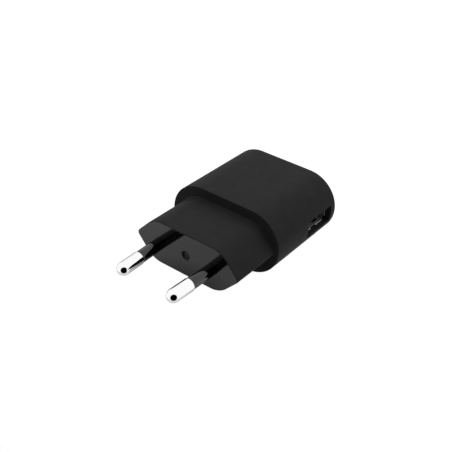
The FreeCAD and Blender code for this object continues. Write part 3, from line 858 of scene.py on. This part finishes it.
def make_backdrop():
    """White dome that only the camera sees, so that every angle has the same plain background."""
    bm = bmesh.new()
    bmesh.ops.create_icosphere(bm, subdivisions=4, radius=BACKDROP_RADIUS)
    glowing("backdrop", bm, 0.0, 1.0, ("camera",))


def make_front_card():
    """Black card before the plug that only keeps light off its shoulder; neither seen nor mirrored."""
    outline = [(-CARD_HALF_WIDTH, 0), (CARD_HALF_WIDTH, 0), (CARD_HALF_WIDTH, CARD_HEIGHT),
               (-CARD_HALF_WIDTH, CARD_HEIGHT)]
    rings = [[(x, CARD_Y - thickness, cad_box[0][2] + z) for x, z in outline] for thickness in (0, MM)]
    card = new_object("front_card", loft(rings))
    n = Nodes("front_card")
    n.set(Base_Color=(0.0, 0.0, 0.0, 1.0), Roughness=1.0, Specular_IOR_Level=0.0)
    card.data.materials.append(n.material)
    card.visible_camera = False
    card.visible_glossy = False


def patch(tree, direction, azimuth, elevation, tones):
    """Brightness that depends on the angle off a direction, from (degrees, brightness) pairs."""
    azimuth, elevation = math.radians(azimuth), math.radians(elevation)
    dot = tree.nodes.new("ShaderNodeVectorMath")
    dot.operation = "DOT_PRODUCT"
    dot.inputs[1].default_value = (math.sin(azimuth) * math.cos(elevation),
                                   -math.cos(azimuth) * math.cos(elevation), math.sin(elevation))
    tree.links.new(direction, dot.inputs[0])
    angle = tree.nodes.new("ShaderNodeMath")
    angle.operation = "ARCCOSINE"
    tree.links.new(dot.outputs["Value"], angle.inputs[0])
    part = tree.nodes.new("ShaderNodeMath")
    part.operation = "DIVIDE"
    part.inputs[1].default_value = math.pi
    tree.links.new(angle.outputs["Value"], part.inputs[0])
    ramp = tree.nodes.new("ShaderNodeValToRGB")
    while len(ramp.color_ramp.elements) < len(tones):
        ramp.color_ramp.elements.new(0.5)
    for element, (degrees, tone) in zip(ramp.color_ramp.elements, tones):
        element.position = degrees / 180
        element.color = (tone, tone, tone, 1.0)
    tree.links.new(part.outputs["Value"], ramp.inputs["Fac"])
    return ramp.outputs["Color"]


def make_world():
    """White studio: a dark opening on the camera's side, a dim gap behind, greyer under the table's edge."""
    world = bpy.data.worlds.new("studio")
    world.use_nodes = True
    scene.world = world
    tree = world.node_tree
    background = tree.nodes["Background"]
    direction = tree.nodes.new("ShaderNodeTexCoord").outputs["Generated"]
    height = tree.nodes.new("ShaderNodeSeparateXYZ")
    tree.links.new(direction, height.inputs["Vector"])
    table = tree.nodes.new("ShaderNodeMapRange")
    table.interpolation_type = "SMOOTHSTEP"
    table.inputs["From Min"].default_value = TABLE_EDGE[0]
    table.inputs["From Max"].default_value = TABLE_EDGE[1]
    table.inputs["To Min"].default_value = TABLE_TONE
    table.inputs["To Max"].default_value = 1.0
    tree.links.new(height.outputs["Z"], table.inputs["Value"])
    both = tree.nodes.new("ShaderNodeVectorMath")
    both.operation = "MULTIPLY"
    tree.links.new(patch(tree, direction, *OPENING), both.inputs[0])
    tree.links.new(patch(tree, direction, *GAP), both.inputs[1])
    tree.links.new(both.outputs["Vector"], background.inputs["Color"])
    tree.links.new(table.outputs["Result"], background.inputs["Strength"])


def make_camera():
    """Camera at the photograph's angle."""
    azimuth, elevation, roll = (math.radians(a) for a in (CAMERA_AZIMUTH, CAMERA_ELEVATION, CAMERA_ROLL))
    back = Vector((math.sin(azimuth) * math.cos(elevation), -math.cos(azimuth) * math.cos(elevation),
                   math.sin(elevation)))
    level_right = Vector((math.cos(azimuth), math.sin(azimuth), 0))
    level_up = back.cross(level_right)
    right = level_right * math.cos(roll) + level_up * math.sin(roll)
    up = level_up * math.cos(roll) - level_right * math.sin(roll)
    middle = (Vector(cad_box[0]) + Vector(cad_box[1])) / 2
    data = bpy.data.cameras.new("camera")
    data.lens = CAMERA_LENS
    data.sensor_width = CAMERA_SENSOR
    data.clip_start = CAMERA_CLIP
    camera = new_object("camera", data)
    place = Matrix((right, up, back)).transposed().to_4x4()
    place.translation = middle + CAMERA_AIM + back * CAMERA_DISTANCE
    camera.matrix_world = place
    scene.camera = camera


make_body()
make_plug()
for side in (-1, 1):
    make_pin(side)
    make_sleeve(side)
make_usb_shell()
make_tongue()
for node in CONTACTS:
    make_contact(node)
dress_inner_nodes()
make_floor()
make_backdrop()
make_front_card()
make_world()
make_camera()
